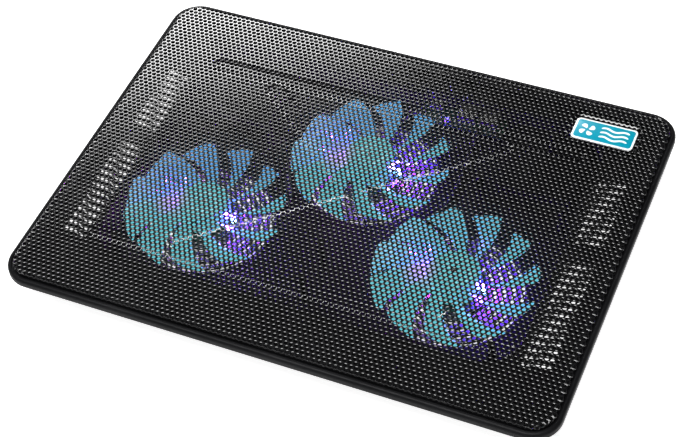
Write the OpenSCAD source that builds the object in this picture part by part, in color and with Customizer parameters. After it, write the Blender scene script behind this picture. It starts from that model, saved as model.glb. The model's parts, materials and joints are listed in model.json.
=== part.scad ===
/* Cooling pad for a notebook computer: three fans under a perforated steel panel.
   The frame's origin is on the resting surface, below the middle of the pad; the front edge is at -Y. */

/* [Body] */
// Width of the pad, side to side
body_w = 380; // [378:1:384]
// Depth of the pad, front to back
body_d = 280; // [278:1:284]
// Corner radius seen from above
corner_r = 20; // [19:1:22]
// Height of the panel's flat top above the surface that the pad rests on
panel_top = 28; // [28:0.5:30]
// Thickness of the perforated steel sheet
sheet_t = 0.8; // [0.6:0.1:1]
// Depth of the channels pressed into the panel
channel_depth = 0.3; // [0.2:0.1:0.8]

/* [Fans] */
// Radius of the blade tips
blade_tip_r = 54.8; // [50:0.2:55]
// Outer radius of the impeller hub
hub_r = 17; // [16.5:0.1:17.2]
// Number of blades on each impeller
blade_count = 11; // [7:1:13]
// Angle by which a blade's tip runs ahead of its root
blade_sweep = 26; // [10:1:30]
// Share of the blade spacing that a blade covers at its root, seen from above
root_cover = 0.52; // [0.5:0.01:0.7]
// Share of the blade spacing that a blade covers at its tip
tip_cover = 0.7; // [0.6:0.01:0.8]
// Distance of the side fans from the middle plane
side_fan_x = 89.4; // [89:0.1:90]
// Place of the side fans from front to back
side_fan_y = -35.5; // [-36:0.1:-35]
// Place of the rear fan from front to back
rear_fan_y = 41; // [40:0.5:42]

/* [Shell] */
// Wall and floor thickness of the bottom shell
wall = 2; // [2:0.1:2.2]
// Spacing of the side vents
vent_pitch = 5.9; // [5.5:0.1:6.5]
// Length of one side vent
vent_len = 20; // [14:1:20]
// Width of one side vent
vent_w = 3; // [2:0.1:3.4]

/* [Feet] */
// Distance of a fold-out foot from the middle plane
foot_x = 112; // [110:1:113]
// Width of a fold-out foot
foot_w = 45.4; // [44:0.1:45.4]
// Height of the rubber pads below the shell
pad_h = 2; // [2:0.1:2.2]

/* [Hidden] */
$fn = 64;

// Heights of the stacked layers
floor_z = pad_h;                          // underside of the shell's tray
floor_top = floor_z + wall;
wing_z = 18.3;                            // underside of the thin outer wing
wing_top = wing_z + wall;
ledge_z = 22.8;                           // underside of the frame's ledge
ledge_top = ledge_z + 1.6;
panel_under = panel_top - sheet_t;
channel_under = panel_under - channel_depth;

// The deeper tray under the wing
tray_w = 300;
tray_front = -97;
tray_rear = 118;
tray_d = tray_rear - tray_front;
tray_y = (tray_rear + tray_front) / 2;
tray_r = 26;
floor_inset = 8;                          // from the tray's outline in to its flat floor
shell_inset = 2;                          // the wing stands back behind the frame's skirt
tray_lap = 1.5;                           // the wing reaches this far in over the tray's wall
lip_w = 1.8;                              // turned-up edge of the wing
vent_x = 162;                             // middle of both rows of side vents
vent_turn = 12;                           // the vents' tilt
vent_rows = [[15, -85.5], [10, 18.5]];    // each row's number of vents, and the place of its first

// Fans
FANS = [[-side_fan_x, side_fan_y], [0, rear_fan_y], [side_fan_x, side_fan_y]];
intake_r = 45.4;                          // outer radius of the air inlet's slots
hub_plate_r = 25;
spoke_w = 4;
spoke_count = 6;
ring_count = 3;
ring_pitch = 6;
ring_w = 3.6;
base_r = 22.5;
base_top = floor_top + 2;
board_r = 21.5;
board_top = base_top + 1.2;
tube_r = 4;
tube_top = 17.3;
motor_screw_ring = 19;                    // distance of the motor screws from the fan's axis
sleeve_r = 3;
sleeve_z = 7.5;                           // lower end of the bearing
shaft_r = 1.5;
shaft_z = 6.6;                            // lower end of the shaft
stator_z = 10.5;
stator_h = 4.5;
tooth_w = 3;                              // width of a stator tooth
running_gap = 0.03;
hub_top = 24.8;
hub_low = 9.5;
hub_wall = 1.8;
blade_mid = 19.35;
blade_rise = 8.5;
blade_t = 1.3;
blade_root = 0.9;                         // depth of a blade's root inside the hub's wall
impeller_turn = [-3, 8, 28];              // how far each impeller has stopped round its axis
led_ring = 19.6;
led_r = 1.5;
led_base = 8.6;                           // underside of a lamp's flange
led_top = 13.8;

// Badge, flush in a pressed recess near the rear right corner
recess_depth = 0.8;
badge_at = [144.5, 107.8];
badge_size = [43, 19.5];
badge_rim = 1.5;                          // white rim round the coloured face
badge_plate_t = 0.5;
badge_gap = 2.5;                          // from the badge to the recess's edge

// Channels pressed into the panel: one along the rear, one along the front, and a diagonal cross
rear_channel_y = 83.5;
rear_channel = [276, 9];
front_channel_y = -86;
front_channel = [296, 8];
cross_y = 4;                              // middle of the diagonal cross
cross_channel = [238, 11.2];
cross_turn = 39.3;
cross_shift = -4.5;                       // each diagonal is longer towards the front

// Electrics at the rear
usb_x = [46, 62];
usb_w = 13.2;
usb_h = 5.8;
usb_len = 13.6;
usb_face = 117.6;
usb_wall = 0.4;
usb_back = 1.2;                           // back wall of a socket
usb_board_x = [12, 74];
usb_board_y = [97, 113.4];
usb_board_z = 8;
usb_board_top = usb_board_z + 1.2;
switch_x = 22;
slider_travel = 2.4;
board_hole = [[17, 99.5], [70, 99.5]];
power_led_at = [33, 101];

// Fold-out feet
pin_y = 109;
pin_z = 5.2;
pin_r = 1.25;
foot_end = 65;
pocket_w = foot_w + 0.6;
pocket_wall = 3;
pocket_front = 57;
pocket_rear = 113.5;
pocket_top = 8.2;

screw_r = 1.3;
screw_inset = 7.2;                        // from the pad's edge to the screws along its sides
corner_inset = 13;                        // and to the screws at its corners
case_screw = [for (sx = [-1, 1], sy = [-1, 1])
                  [sx * (body_w / 2 - corner_inset), sy * (body_d / 2 - corner_inset)],
              for (sx = [-1, 1], sy = [-1, 1]) [sx * 62, sy * (body_d / 2 - screw_inset)],
              for (sx = [-1, 1]) [sx * (body_w / 2 - screw_inset), 5]];
post = [[0, -45], [0, -74], [-78, 45], [78, 45], [-138, 35], [138, 35]];
post_r = 2.5;
pocket_post_y = 97;                       // a post on the roof of each foot's recess
channel_post = [[-132, -84], [132, -84]]; // these two stand under the front channel
pad_place = [[-132, -78], [132, -78], [-70, 104], [70, 104]];
pad_r = 6;

// Routes of the fan leads: along a spoke, over the floor and up to the electrics board
lead_r = 0.6;
lead_gap = 0.66;
LEAD_LEFT = [[-72.5, -25.7, 8.0], [-69, -23.7, 7.4], [-65, -21.4, 5.1], [-59, -18, 4.7], [-51, -13.3, 4.7],
             [-44, -7, 4.7], [-45, 4, 4.7], [-53, 16, 4.7], [-58, 30, 4.7], [-59, 46, 4.7],
             [-54, 66, 4.7], [-42, 84, 4.7], [-24, 97, 4.7], [-8, 102, 4.7], [2, 103.4, 5.6],
             [8, 104, 9.9], [16, 104.6, 9.9]];
LEAD_REAR = [[0, 60.5, 8.0], [0, 64.5, 7.4], [0, 69, 5.1], [0, 76, 4.7], [0, 86, 4.7],
             [0.6, 92, 4.7], [3, 97, 5.6], [8, 100.6, 9.9], [15, 102, 9.9]];
LEAD_RIGHT = [[72.5, -25.7, 8.0], [69, -23.7, 7.4], [65, -21.4, 5.1], [59, -18, 4.7], [51, -13.3, 4.7],
              [44, -7, 4.7], [45, 4, 4.7], [53, 16, 4.7], [58, 30, 4.7], [59.5, 46, 4.7],
              [59, 64, 4.7], [57.5, 80, 4.7], [57, 88, 5.6], [57, 93.4, 9.9], [57, 101, 9.9]];

// ---------- outlines and sweeps ----------

// A rectangle with round corners
module rounded_rect(w, d, r) {
    square([w - 2 * r, d], center = true);
    square([w, d - 2 * r], center = true);
    for (sx = [-1, 1], sy = [-1, 1]) translate([sx * (w / 2 - r), sy * (d / 2 - r)]) circle(r);
}

// Sweeps a profile round a rectangle's edge; its x counts outward from the corner centres
module edge_sweep(w, d, r) {
    for (k = [0:3]) {
        a = (k % 2 == 0 ? w : d) / 2 - r;
        b = (k % 2 == 0 ? d : w) / 2 - r;
        rotate([0, 0, 90 * k]) translate([a, b, 0]) {
            rotate_extrude(angle = 90) children();
            rotate([90, 0, 0]) linear_extrude(2 * b) children();
        }
    }
}

// Points of an arc, for outlines
function arc(cx, cy, r, a0, a1, n = 6) =
    [for (i = [0:n]) let (a = a0 + (a1 - a0) * i / n) [cx + r * cos(a), cy + r * sin(a)]];

// A slot with round ends, along X
module slot(len, w) {
    square([len - w, w], center = true);
    for (s = [-1, 1]) translate([s * (len - w) / 2, 0]) circle(d = w);
}

module at_fan(i) {
    translate([FANS[i][0], FANS[i][1], 0]) children();
}

// ---------- covers ----------

// Side vents: a long row beside the front fans and a shorter one behind it
module vents() {
    for (side = [-1, 1], row = vent_rows, i = [0:row[0] - 1])
        translate([side * vent_x, row[1] + i * vent_pitch]) rotate(side * vent_turn)
            slot(vent_len, vent_w);
}

// Air inlet under one fan: what is cut out between the rings and spokes
module inlet() {
    difference() {
        circle(intake_r, $fn = 128);
        circle(hub_plate_r);
        for (k = [1:ring_count]) difference() {
            circle(hub_plate_r + k * ring_pitch, $fn = 128);
            circle(hub_plate_r + k * ring_pitch - ring_w, $fn = 128);
        }
        for (k = [0:spoke_count - 1]) rotate(30 + k * 360 / spoke_count)
            translate([0, -spoke_w / 2]) square([intake_r + 1, spoke_w]);
    }
}

// Thin outer wing with its vents, and the turned-up edge that meets the frame
module wing() {
    translate([0, 0, wing_z]) linear_extrude(wall) difference() {
        rounded_rect(body_w - 2 * shell_inset, body_d - 2 * shell_inset, corner_r - shell_inset);
        translate([0, tray_y])
            rounded_rect(tray_w - 2 * tray_lap, tray_d - 2 * tray_lap, tray_r - tray_lap);
        vents();
        for (p = case_screw) translate(p) circle(1.5);
    }
    edge_sweep(body_w, body_d, corner_r)
        translate([corner_r - shell_inset - 2, wing_top - 0.5])
            square([lip_w, ledge_z - wing_top + 0.5]);
}

// Floor of the tray with the air inlets and the holes for the motor screws
module tray_floor() {
    translate([0, 0, floor_z]) linear_extrude(wall) difference() {
        translate([0, tray_y])
            rounded_rect(tray_w - 2 * floor_inset, tray_d - 2 * floor_inset, tray_r - floor_inset);
        for (i = [0:2]) at_fan(i) {
            inlet();
            for (k = [0:2]) rotate(k * 120) translate([motor_screw_ring, 0]) circle(1.1);
        }
    }
}

// Sloping side of the tray, with its round lower edge
module tray_wall() {
    translate([0, tray_y, 0]) edge_sweep(tray_w, tray_d, tray_r)
        polygon([[tray_r - floor_inset, floor_z], [tray_r - 5.2, floor_z], [tray_r - 3.7, floor_z + 0.5],
                 [tray_r - 3, floor_z + 1.8], [tray_r, wing_z + 0.7], [tray_r, wing_top],
                 [tray_r - wall, wing_top], [tray_r - 4.8, floor_top + 1], [tray_r - 5.5, floor_top + 0.3],
                 [tray_r - 6.5, floor_top], [tray_r - floor_inset, floor_top]]);
}

// Recess that a foot folds into: its space, and the box round it
module pocket_space() {
    translate([-pocket_w / 2, pocket_front, floor_z - 1])
        cube([pocket_w, pocket_rear - pocket_front, pocket_top - floor_z + 1]);
    translate([-pocket_w / 2 - pocket_wall - 1, pin_y, pin_z]) rotate([0, 90, 0])
        cylinder(r = pin_r, h = pocket_w + 2 * pocket_wall + 2);
}

module pocket_block() {
    block_w = pocket_w + 2 * pocket_wall;
    block_d = pocket_rear - pocket_front + wall + 2;
    translate([-block_w / 2, pocket_front - wall, floor_z + 0.5])
        cube([block_w, block_d, pocket_top + wall - floor_z - 0.5]);
}

// Posts that hold the panel up, and the two under the electrics board
module posts() {
    foot = floor_top - 0.5;
    pocket_foot = pocket_top + wall - 0.5;
    for (p = post) translate([p[0], p[1], foot]) cylinder(r = post_r, h = panel_under - foot);
    for (p = channel_post) translate([p[0], p[1], foot]) cylinder(r = post_r, h = channel_under - foot);
    for (s = [-1, 1]) translate([s * foot_x, pocket_post_y, pocket_foot])
        cylinder(r = post_r, h = panel_under - pocket_foot);
    for (p = board_hole) translate([p[0], p[1], foot]) cylinder(r = 2.4, h = usb_board_z - foot);
}

module bottom_shell() {
    color("#1b1c1f") difference() {
        union() {
            wing();
            tray_wall();
            tray_floor();
            for (s = [-1, 1]) translate([s * foot_x, 0, 0]) pocket_block();
            posts();
        }
        for (s = [-1, 1]) translate([s * foot_x, 0, 0]) pocket_space();
        for (p = pad_place) translate([p[0], p[1], floor_z - 1]) cylinder(r = pad_r, h = 1.4);
        for (p = board_hole) translate([p[0], p[1], floor_top]) cylinder(r = 1, h = 10);
        for (x = usb_x) translate([x - usb_w / 2 - 0.2, usb_face - 8, usb_board_top - 0.2])
            cube([usb_w + 0.4, 12, usb_h + 0.4]);
        translate([switch_x - 3.4, usb_face - 4, usb_board_top + 0.6]) cube([6.8, 8, 2.8]);
    }
}

// Frame round the panel: rounded outer skirt, groove and ledge
module top_frame() {
    color("#2a2b2e") difference() {
        union() {
            edge_sweep(body_w, body_d, corner_r)
                polygon(concat([[corner_r - 1.8, 20], [corner_r - 0.3, 20], [corner_r, 20.3]],
                               arc(corner_r - 2.4, 23.2, 2.4, 0, 90),
                               [[corner_r - 2.9, 25.2], [corner_r - 2.9, ledge_top],
                                [corner_r - 10, ledge_top], [corner_r - 10, ledge_z],
                                [corner_r - 1.8, ledge_z]]));
            for (p = case_screw) translate([p[0], p[1], wing_top])
                cylinder(r = 3, h = ledge_top - wing_top);
        }
        for (p = case_screw) translate([p[0], p[1], wing_top - 1]) cylinder(r = screw_r, h = 4.2);
    }
}

// Outline of the channels pressed into the panel
module channels(grow = 0) {
    translate([0, rear_channel_y]) slot(rear_channel[0] + 2 * grow, rear_channel[1] + 2 * grow);
    translate([0, front_channel_y]) slot(front_channel[0] + 2 * grow, front_channel[1] + 2 * grow);
    for (s = [-1, 1]) translate([0, cross_y]) rotate([0, 0, s * cross_turn])
        translate([s * cross_shift, 0])
            square([cross_channel[0] + 2 * grow, cross_channel[1] + 2 * grow], center = true);
}

// Outline of the recess that the badge lies in
module recess(grow = 0) {
    border = badge_gap + grow;
    translate(badge_at) rounded_rect(badge_size[0] + 2 * border, badge_size[1] + 2 * border, 5 + grow);
}

module mesh_panel() {
    edge_r = 2;
    out = corner_r - 3.9;
    color("#3a3b3d") difference() {
        union() {
            edge_sweep(body_w, body_d, corner_r)
                polygon(concat([[out, ledge_top]], arc(out - edge_r, panel_top - edge_r, edge_r, 0, 90),
                               [[0, panel_top], [0, panel_under]],
                               arc(out - edge_r, panel_top - edge_r, edge_r - sheet_t, 90, 0),
                               [[out - sheet_t, ledge_top]]));
            translate([0, 0, panel_under + sheet_t / 2])
                cube([body_w - 2 * corner_r, body_d - 2 * corner_r, sheet_t], center = true);
            translate([0, 0, channel_under]) linear_extrude(channel_depth + 0.1) channels(sheet_t);
            translate([0, 0, panel_under - recess_depth]) linear_extrude(recess_depth + 0.1) recess(sheet_t);
        }
        translate([0, 0, panel_top - channel_depth]) linear_extrude(channel_depth + 1) channels();
        translate([0, 0, panel_top - recess_depth]) linear_extrude(recess_depth + 1) recess();
    }
}

// Badge: a white plate on the recess's floor, and a coloured face that ends level with the panel
module badge_plate() {
    color("white") translate([badge_at[0], badge_at[1], panel_top - recess_depth])
        linear_extrude(badge_plate_t) rounded_rect(badge_size[0], badge_size[1], 3);
}

module badge_face() {
    color("#1fb3c4") translate([badge_at[0], badge_at[1], panel_top - recess_depth + badge_plate_t])
        linear_extrude(recess_depth - badge_plate_t)
            rounded_rect(badge_size[0] - 2 * badge_rim, badge_size[1] - 2 * badge_rim, 2);
}

// ---------- fan ----------

// One corner of a blade; t is -1 at the root and 1 at the tip, s is -1 behind and 1 in front
function blade_point(t, s, side) =
    let (u = (t + 1) / 2,
         root_r = hub_r - blade_root,
         r = root_r + (blade_tip_r - root_r) * u,
         cover = root_cover + (tip_cover - root_cover) * u,
         a = blade_sweep * u + s * cover * 180 / blade_count)
    [r * cos(a), r * sin(a), blade_mid - s * blade_rise / 2 + side * blade_t / 2];

BLADE_T = [-1, -0.6, -0.2, 0.2, 0.6, 1];
BLADE_S = [-1, 0, 1];

module blade() {
    nt = len(BLADE_T);
    ns = len(BLADE_S);
    pts = [for (side = [-1, 1], t = BLADE_T, s = BLADE_S) blade_point(t, s, side)];
    function at(side, i, j) = (side > 0 ? nt * ns : 0) + i * ns + j;
    upper = [for (i = [0:nt - 2], j = [0:ns - 2]) each
        [[at(1, i, j), at(1, i + 1, j + 1), at(1, i + 1, j)],
         [at(1, i, j), at(1, i, j + 1), at(1, i + 1, j + 1)]]];
    lower = [for (i = [0:nt - 2], j = [0:ns - 2]) each
        [[at(-1, i, j), at(-1, i + 1, j), at(-1, i + 1, j + 1)],
         [at(-1, i, j), at(-1, i + 1, j + 1), at(-1, i, j + 1)]]];
    sides = [for (i = [0:nt - 2]) each
        [[at(-1, i, 0), at(1, i, 0), at(1, i + 1, 0)], [at(-1, i, 0), at(1, i + 1, 0), at(-1, i + 1, 0)],
         [at(-1, i, ns - 1), at(1, i + 1, ns - 1), at(1, i, ns - 1)],
         [at(-1, i, ns - 1), at(-1, i + 1, ns - 1), at(1, i + 1, ns - 1)]]];
    ends = [for (j = [0:ns - 2]) each
        [[at(-1, 0, j), at(1, 0, j + 1), at(1, 0, j)], [at(-1, 0, j), at(-1, 0, j + 1), at(1, 0, j + 1)],
         [at(-1, nt - 1, j), at(1, nt - 1, j), at(1, nt - 1, j + 1)],
         [at(-1, nt - 1, j), at(1, nt - 1, j + 1), at(-1, nt - 1, j + 1)]]];
    polyhedron(pts, concat(upper, lower, sides, ends));
}

module impeller() {
    color("#2ba3b5", 0.9) {
        difference() {
            rotate_extrude() polygon(concat([[shaft_r, hub_top - 7], [3.4, hub_top - 7], [3.4, hub_top - 2],
                                             [hub_r - hub_wall, hub_top - 2], [hub_r - hub_wall, hub_low],
                                             [hub_r, hub_low]],
                                            arc(hub_r - 1.2, hub_top - 1.2, 1.2, 0, 90),
                                            [[shaft_r, hub_top]]));
            cylinder(r = shaft_r, h = 40);
        }
        for (k = [0:blade_count - 1]) rotate([0, 0, k * 360 / blade_count]) blade();
    }
}

module fan_shaft() {
    color("silver") translate([0, 0, shaft_z]) cylinder(r = shaft_r, h = hub_top - 0.4 - shaft_z);
}

module rotor_magnet() {
    color("#3c3a3a") translate([0, 0, hub_low + 0.5]) difference() {
        cylinder(r = hub_r - hub_wall, h = 8);
        translate([0, 0, -1]) cylinder(r = hub_r - hub_wall - 2, h = 10);
    }
}

module bearing_sleeve() {
    color("#b08d57") translate([0, 0, sleeve_z]) difference() {
        cylinder(r = sleeve_r, h = 9.8);
        translate([0, 0, -1]) cylinder(r = shaft_r + running_gap, h = 12);
    }
}

// Disc on the inlet's plate with the tube that carries the bearing
module motor_base() {
    color("#1b1c1f") difference() {
        union() {
            translate([0, 0, floor_top]) cylinder(r = base_r, h = base_top - floor_top);
            translate([0, 0, base_top - 0.5]) cylinder(r = tube_r, h = tube_top - base_top + 0.5);
        }
        translate([0, 0, sleeve_z]) cylinder(r = sleeve_r, h = 20);
        translate([0, 0, 6.2]) cylinder(r = shaft_r + 0.5, h = 20);
        for (k = [0:2]) rotate([0, 0, k * 120])
            translate([motor_screw_ring, 0, floor_top - 1]) cylinder(r = 1, h = 5);
    }
}

module fan_board() {
    color("#1f5d3a") translate([0, 0, base_top]) difference() {
        cylinder(r = board_r, h = board_top - base_top);
        translate([0, 0, -1]) cylinder(r = tube_r, h = 5);
        for (k = [0:2]) rotate([0, 0, k * 120])
            translate([motor_screw_ring, 0, -1]) cylinder(r = 1.4, h = 5);
    }
}

module stator_core() {
    color("#8d9094") translate([0, 0, stator_z]) {
        difference() {
            cylinder(r = 6, h = stator_h);
            translate([0, 0, -1]) cylinder(r = tube_r, h = 7);
        }
        for (k = [0:3]) rotate([0, 0, k * 90]) {
            translate([5.5, -tooth_w / 2, 0]) cube([6, tooth_w, stator_h]);
            rotate([0, 0, -32]) rotate_extrude(angle = 64) translate([11, 0]) square([1.3, stator_h]);
        }
    }
}

module stator_coils() {
    color("#b8703a") for (k = [0:3]) rotate([0, 0, k * 90]) difference() {
        translate([6.4, -2.8, 9.2]) cube([4.2, 5.6, 7.1]);
        translate([6, -tooth_w / 2, stator_z]) cube([6, tooth_w, stator_h]);
    }
}

// Two lamps that stand just outside the hub and shine up through the blades
module fan_leds() {
    color("#dfe6ff") for (s = [-1, 1]) rotate([0, 0, 5]) translate([s * led_ring, 0, 0]) {
        translate([0, 0, led_base]) cylinder(r = led_r, h = led_top - led_r - led_base);
        translate([0, 0, led_top - led_r]) sphere(led_r);
        translate([0, 0, led_base]) cylinder(r = 1.75, h = 0.8);
        for (p = [-0.6, 0.6]) translate([p - 0.2, -0.2, board_top]) cube([0.4, 0.4, 2]);
    }
}

// ---------- leads ----------

// Smooth curve through the points of a route
function spline(p, n) =
    let (m = len(p) - 1)
    concat([for (i = [0:m - 1], k = [0:n - 1])
        let (u = k / n, a = p[max(i - 1, 0)], b = p[i], c = p[i + 1], d = p[min(i + 2, m)])
        0.5 * (2 * b + (c - a) * u + (2 * a - 5 * b + 4 * c - d) * u * u
               + (3 * b - 3 * c + d - a) * u * u * u)], [p[m]]);

function unit(v) = v / norm(v);

// A round wire along a curve, set aside from it by off in the horizontal plane
module wire(path, r, off, sides = 8) {
    n = len(path);
    dir = [for (i = [0:n - 1]) unit(path[min(i + 1, n - 1)] - path[max(i - 1, 0)])];
    rings = [for (i = [0:n - 1])
        let (side = unit(cross([0, 0, 1], dir[i])), up = cross(dir[i], side))
        for (k = [0:sides - 1])
            path[i] + side * (off + r * cos(360 * k / sides)) + up * r * sin(360 * k / sides)];
    skin = [for (i = [0:n - 2], k = [0:sides - 1])
        let (a = i * sides + k, b = i * sides + (k + 1) % sides)
        each [[a, a + sides, b], [b, a + sides, b + sides]]];
    first = [for (k = [1:sides - 2]) [0, k, k + 1]];
    last = [for (k = [1:sides - 2]) [(n - 1) * sides, (n - 1) * sides + k + 1, (n - 1) * sides + k]];
    polyhedron(rings, concat(skin, first, last));
}

module fan_lead(route) {
    path = spline(route, 2);
    color("#a02020") wire(path, lead_r, lead_gap);
    color("#202020") wire(path, lead_r, -lead_gap);
}

// ---------- electrics at the rear ----------

module usb_board() {
    color("#1f5d3a") difference() {
        translate([0, 0, usb_board_z]) linear_extrude(usb_board_top - usb_board_z)
            polygon([for (c = [[0, 0], [1, 0], [1, 1], [0, 1]]) [usb_board_x[c[0]], usb_board_y[c[1]]]]);
        for (p = board_hole) translate([p[0], p[1], 0]) cylinder(r = 1.2, h = 20);
    }
}

module usb_socket(x) {
    color("silver") translate([x - usb_w / 2, usb_face - usb_len, usb_board_top]) difference() {
        cube([usb_w, usb_len, usb_h]);
        translate([usb_wall, usb_back, usb_wall])
            cube([usb_w - 2 * usb_wall, usb_len, usb_h - 2 * usb_wall]);
    }
}

module usb_tongues() {
    color("white") for (x = usb_x)
        translate([x - 5.5, usb_face - usb_len + usb_back, usb_board_top + usb_h - 2.9])
            cube([11, 10.6, 1.8]);
}

module power_led() {
    color("#4050ff") translate([power_led_at[0], power_led_at[1], usb_board_top]) {
        cylinder(r = led_r, h = 3);
        translate([0, 0, 3]) sphere(led_r);
    }
}

module switch_body() {
    color("silver") translate([switch_x - 4.5, 109.6, usb_board_top]) difference() {
        cube([9, 4, 4]);
        translate([1.6, 1.4, 1]) cube([5.8, 4, 2]);
    }
}

module switch_slider() {
    color("#101010") translate([switch_x - slider_travel / 2, 0, usb_board_top + 1.3]) {
        translate([-1.5, 111.5, 0]) cube([3, 1.8, 1.4]);
        translate([-1, 111.5, 0]) cube([2, 7.4, 1.4]);
    }
}

// ---------- feet, pads and fasteners ----------

module foot() {
    color("#1b1c1f") translate([0, pin_y, pin_z]) difference() {
        union() {
            rotate([0, 90, 0]) cylinder(r = 2.8, h = foot_w, center = true);
            translate([-foot_w / 2, foot_end - pin_y, -2.2]) cube([foot_w, pin_y - foot_end - 0.5, 4.4]);
        }
        rotate([0, 90, 0]) cylinder(r = pin_r + 0.05, h = foot_w + 2, center = true);
        // hollow upper side with a middle rib
        for (s = [-1, 1]) translate([s * foot_w / 4 - 9, foot_end - pin_y + 2.5, -0.6])
            cube([18, pin_y - foot_end - 8, 5]);
        // finger notch in the tip
        translate([0, foot_end - pin_y, -5]) cylinder(r = 7, h = 12);
    }
}

module foot_tip() {
    color("#0c0c0c") for (s = [-1, 1])
        translate([s * 14.5 - 7, foot_end - 3, pin_z - 2.2]) cube([14, 3, 4.4]);
}

module foot_pin() {
    color("silver") translate([0, pin_y, pin_z]) rotate([0, 90, 0])
        cylinder(r = pin_r, h = pocket_w + 2 * pocket_wall - 0.4, center = true);
}

module bottom_pads() {
    color("#0c0c0c") for (p = pad_place) translate([p[0], p[1], 0]) rotate_extrude()
        polygon(concat([[0, 0]], arc(pad_r - 0.8, 0.8, 0.8, -90, 0),
                       [[pad_r, floor_z + 0.4], [0, floor_z + 0.4]]));
}

// A pan-head screw that points up, with its head's face at z = 0
module screw(r, head_r, head_h, len) {
    difference() {
        rotate_extrude() polygon(concat([[0, -head_h]], arc(head_r - 0.5, 0.5 - head_h, 0.5, -90, 0),
                                        [[head_r, 0], [r, 0], [r, len - r], [0, len]]));
        for (a = [0, 90]) rotate([0, 0, a]) translate([-1.3, -0.25, -head_h - 1]) cube([2.6, 0.5, 1.7]);
    }
}

module case_screws() {
    color("#505357") for (p = case_screw) translate([p[0], p[1], wing_z]) screw(screw_r, 2.6, 1.5, 5.2);
}

module motor_screws() {
    color("#505357") for (i = [0:2], k = [0:2]) at_fan(i) rotate([0, 0, k * 120])
        translate([motor_screw_ring, 0, floor_z]) screw(1, 2, 1.2, 3.8);
}

module board_screws() {
    color("#505357") for (p = board_hole) translate([p[0], p[1], usb_board_top]) mirror([0, 0, 1])
        screw(1, 2, 1.2, 4);
}

// ---------- nodes ----------

bottom_shell();
top_frame();
mesh_panel();
badge_plate();
badge_face();
at_fan(0) rotate(impeller_turn[0]) impeller();  // impeller_left
at_fan(1) rotate(impeller_turn[1]) impeller();  // impeller_rear
at_fan(2) rotate(impeller_turn[2]) impeller();  // impeller_right
at_fan(0) fan_shaft();  // fan_shaft_left
at_fan(1) fan_shaft();  // fan_shaft_rear
at_fan(2) fan_shaft();  // fan_shaft_right
at_fan(0) rotor_magnet();  // rotor_magnet_left
at_fan(1) rotor_magnet();  // rotor_magnet_rear
at_fan(2) rotor_magnet();  // rotor_magnet_right
at_fan(0) bearing_sleeve();  // bearing_sleeve_left
at_fan(1) bearing_sleeve();  // bearing_sleeve_rear
at_fan(2) bearing_sleeve();  // bearing_sleeve_right
at_fan(0) motor_base();  // motor_base_left
at_fan(1) motor_base();  // motor_base_rear
at_fan(2) motor_base();  // motor_base_right
at_fan(0) stator_core();  // stator_core_left
at_fan(1) stator_core();  // stator_core_rear
at_fan(2) stator_core();  // stator_core_right
at_fan(0) stator_coils();  // stator_coils_left
at_fan(1) stator_coils();  // stator_coils_rear
at_fan(2) stator_coils();  // stator_coils_right
at_fan(0) fan_board();  // fan_board_left
at_fan(1) fan_board();  // fan_board_rear
at_fan(2) fan_board();  // fan_board_right
at_fan(0) fan_leds();  // fan_leds_left
at_fan(1) fan_leds();  // fan_leds_rear
at_fan(2) fan_leds();  // fan_leds_right
fan_lead(LEAD_LEFT);  // fan_lead_left
fan_lead(LEAD_REAR);  // fan_lead_rear
fan_lead(LEAD_RIGHT);  // fan_lead_right
usb_board();
usb_socket(usb_x[0]);  // usb_socket_inner
usb_socket(usb_x[1]);  // usb_socket_outer
usb_tongues();
power_led();
switch_body();
switch_slider();
translate([-foot_x, 0, 0]) foot();  // foot_left
translate([foot_x, 0, 0]) foot();  // foot_right
translate([-foot_x, 0, 0]) foot_pin();  // foot_pin_left
translate([foot_x, 0, 0]) foot_pin();  // foot_pin_right
translate([-foot_x, 0, 0]) foot_tip();  // foot_tip_left
translate([foot_x, 0, 0]) foot_tip();  // foot_tip_right
bottom_pads();
case_screws();
motor_screws();
board_screws();
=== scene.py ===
import json
import math

import bpy
import numpy as np
from mathutils import Matrix, Vector


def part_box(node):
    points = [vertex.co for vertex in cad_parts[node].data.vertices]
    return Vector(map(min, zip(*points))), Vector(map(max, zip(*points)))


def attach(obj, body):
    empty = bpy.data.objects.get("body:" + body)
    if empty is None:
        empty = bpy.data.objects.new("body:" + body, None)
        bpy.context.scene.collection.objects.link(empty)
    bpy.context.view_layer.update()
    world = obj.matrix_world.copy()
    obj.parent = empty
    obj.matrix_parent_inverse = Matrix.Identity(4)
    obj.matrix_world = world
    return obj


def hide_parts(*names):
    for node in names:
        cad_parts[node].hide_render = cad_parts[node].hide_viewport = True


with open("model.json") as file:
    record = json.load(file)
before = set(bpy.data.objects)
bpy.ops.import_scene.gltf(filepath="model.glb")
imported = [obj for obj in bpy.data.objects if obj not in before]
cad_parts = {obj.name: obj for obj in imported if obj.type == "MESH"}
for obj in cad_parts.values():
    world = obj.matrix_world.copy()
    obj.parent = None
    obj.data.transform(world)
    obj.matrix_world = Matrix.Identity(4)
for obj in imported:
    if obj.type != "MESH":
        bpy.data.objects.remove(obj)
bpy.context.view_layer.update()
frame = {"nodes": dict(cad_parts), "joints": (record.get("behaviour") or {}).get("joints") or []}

MM = 0.001
CASE = "case"
SIDES = ("left", "rear", "right")


# ---------- places taken from the frame ----------

def lows(node):
    """The lowest corner of a CAD node, in millimetres."""
    return np.array(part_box(node)[0]) / MM


def highs(node):
    """The highest corner of a CAD node, in millimetres."""
    return np.array(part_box(node)[1]) / MM


def joint_place(name):
    """Where a joint's axis stands, in millimetres."""
    return next(np.array(j["pos_m"]) / MM for j in frame["joints"] if j["name"] == name)


FANS = {side: joint_place(f"fan_spin_{side}") for side in SIDES}
PANEL_HI = highs("mesh_panel")
PANEL_TOP = PANEL_HI[2]
HUB_TOP = highs("impeller_left")[2]
HUB_LOW = lows("impeller_left")[2]


# ---------- camera, lights and floor ----------

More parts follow.
